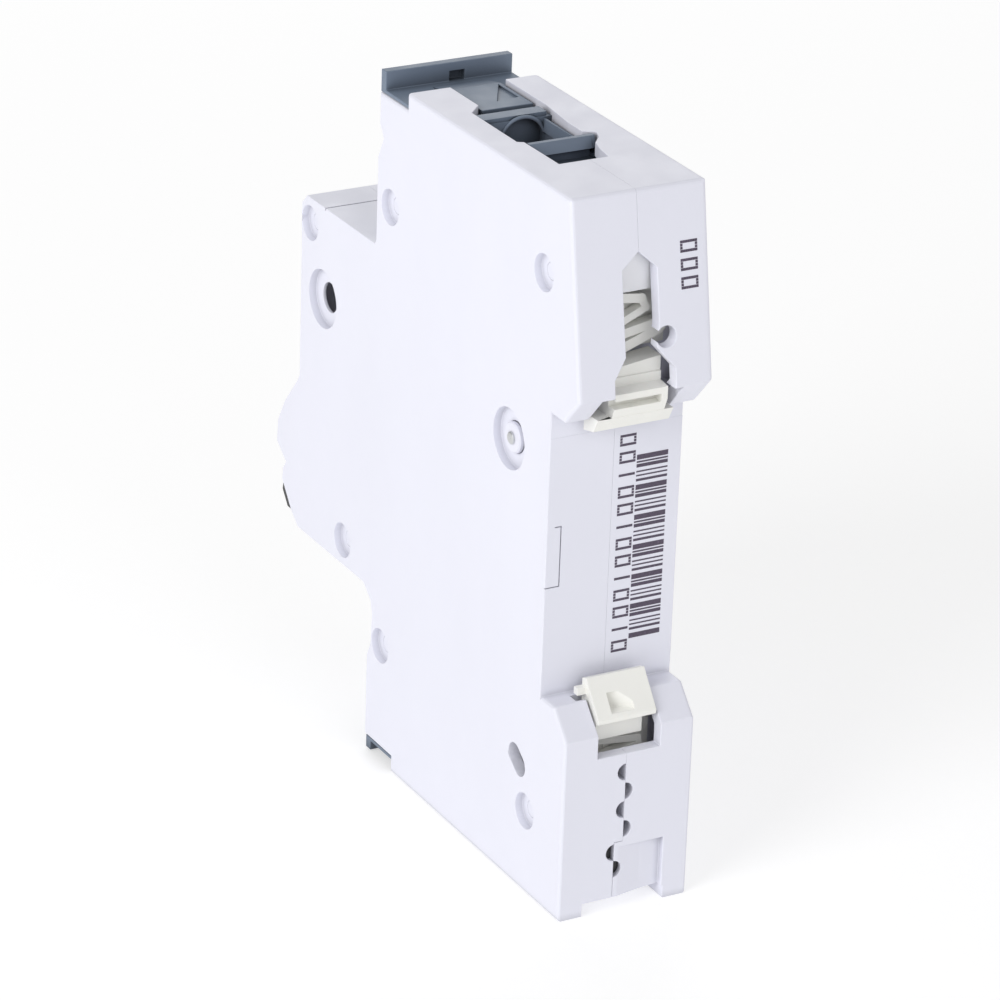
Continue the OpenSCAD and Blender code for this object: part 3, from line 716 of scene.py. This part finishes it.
def clip_pockets():
    """The wall in front of the upper spring's fixed end, and the ribbed floors behind both springs."""
    half_width, back, rib, inset = 5.6, -0.8, 0.4, 0.2
    wall, floors = bmesh.new(), bmesh.new()
    add_block(wall, (-half_width, 1.55, 31.75), (4.4, 1.95, 37.5))
    bmesh.ops.bevel(wall, geom=wall.edges[:], offset=0.12 * MM, segments=3, profile=0.5, affect="EDGES")
    # the wall takes the paler copy of the case plastic: painted light
    finish_piece("upper_pocket_wall", wall, POCKET_PAINTED_LIGHT, "case", smooth=False)
    for z_low, z_high, y in ((24.2, 35.8, -0.1), (-30.3, -20.6, 0.75)):
        add_block(floors, (-half_width, back, z_low), (half_width, y - 0.15, z_high))
        for x in (-4.8, -2.4, 0.0, 2.4, 4.8):
            add_block(floors, (x - rib, y - 0.2, z_low + inset), (x + rib, y, z_high - inset))
    finish_piece("clip_pocket_floors", floors, CREAM, "case", smooth=False)


toggle_marks()
front_label()
scoop_lip()
# painted shade inside the two lowest vents
vent_painted_shade()
rear_pin_caps()
clip_pockets()


# ---------------------------------------------------------------- floor, lights and camera

def area_light(name, place_mm, target_mm, size_mm, watts, shade=(1, 1, 1)):
    data = bpy.data.lights.new(name, "AREA")
    data.shape = "DISK"
    data.size = size_mm * MM
    data.energy = watts
    data.color = shade
    lamp = bpy.data.objects.new(name, data)
    bpy.context.scene.collection.objects.link(lamp)
    place = Vector(place_mm) * MM
    lamp.location = place
    lamp.rotation_euler = (Vector(target_mm) * MM - place).to_track_quat("-Z", "Y").to_euler()


def pale_floor():
    mesh = bpy.data.meshes.new("floor")
    reach, level = 4.0, cad_low.z
    corners = [(x * reach, y * reach, level) for x, y in ((-1, -1), (1, -1), (1, 1), (-1, 1))]
    mesh.from_pydata(corners, [], [(0, 1, 2, 3)])
    floor = bpy.data.objects.new("floor", mesh)
    bpy.context.scene.collection.objects.link(floor)
    surface = Surface("floor_paint", roughness=0.9)
    surface.shader.inputs["Base Color"].default_value = (0.6, 0.6, 0.6, 1)
    surface.shader.inputs["Emission Color"].default_value = (1, 1, 1, 1)
    surface.shader.inputs["Emission Strength"].default_value = 0.5
    mesh.materials.append(surface.material)


def studio():
    world = bpy.data.worlds.new("studio")
    bpy.context.scene.world = world
    world.use_nodes = True
    backdrop = world.node_tree.nodes["Background"]
    backdrop.inputs["Color"].default_value = (1, 1, 1, 1)
    backdrop.inputs["Strength"].default_value = 0.515
    middle = (0, -30, 0)
    area_light("side_key", (620, 180, 330), middle, 420, 2.3)
    area_light("rear_fill", (60, 700, 420), middle, 500, 0.78, (0.97, 0.97, 1.0))
    area_light("front_fill", (-350, -700, 350), middle, 500, 1.04)
    bpy.context.scene.view_settings.view_transform = "Standard"


def studio_camera():
    """A long lens behind and above the part, on its right-hand side."""
    azimuth, elevation, roll = (math.radians(x) for x in (150.627, 23.868, 2.006))
    back = Vector((math.sin(azimuth) * math.cos(elevation), -math.cos(azimuth) * math.cos(elevation),
                   math.sin(elevation)))
    right = Vector((0, 0, 1)).cross(back).normalized()
    up = back.cross(right)
    rolled_right = right * math.cos(roll) + up * math.sin(roll)
    rolled_up = up * math.cos(roll) - right * math.sin(roll)
    data = bpy.data.cameras.new("camera")
    data.sensor_width = 36
    data.lens = 173.36
    data.clip_start, data.clip_end = 0.01, 20
    camera = bpy.data.objects.new("camera", data)
    bpy.context.scene.collection.objects.link(camera)
    turn = Matrix((rolled_right, rolled_up, back)).transposed().to_4x4()
    camera.matrix_world = Matrix.Translation(Vector((256.851, 429.980, 226.662)) * MM) @ turn
    bpy.context.scene.camera = camera


pale_floor()
studio()
studio_camera()
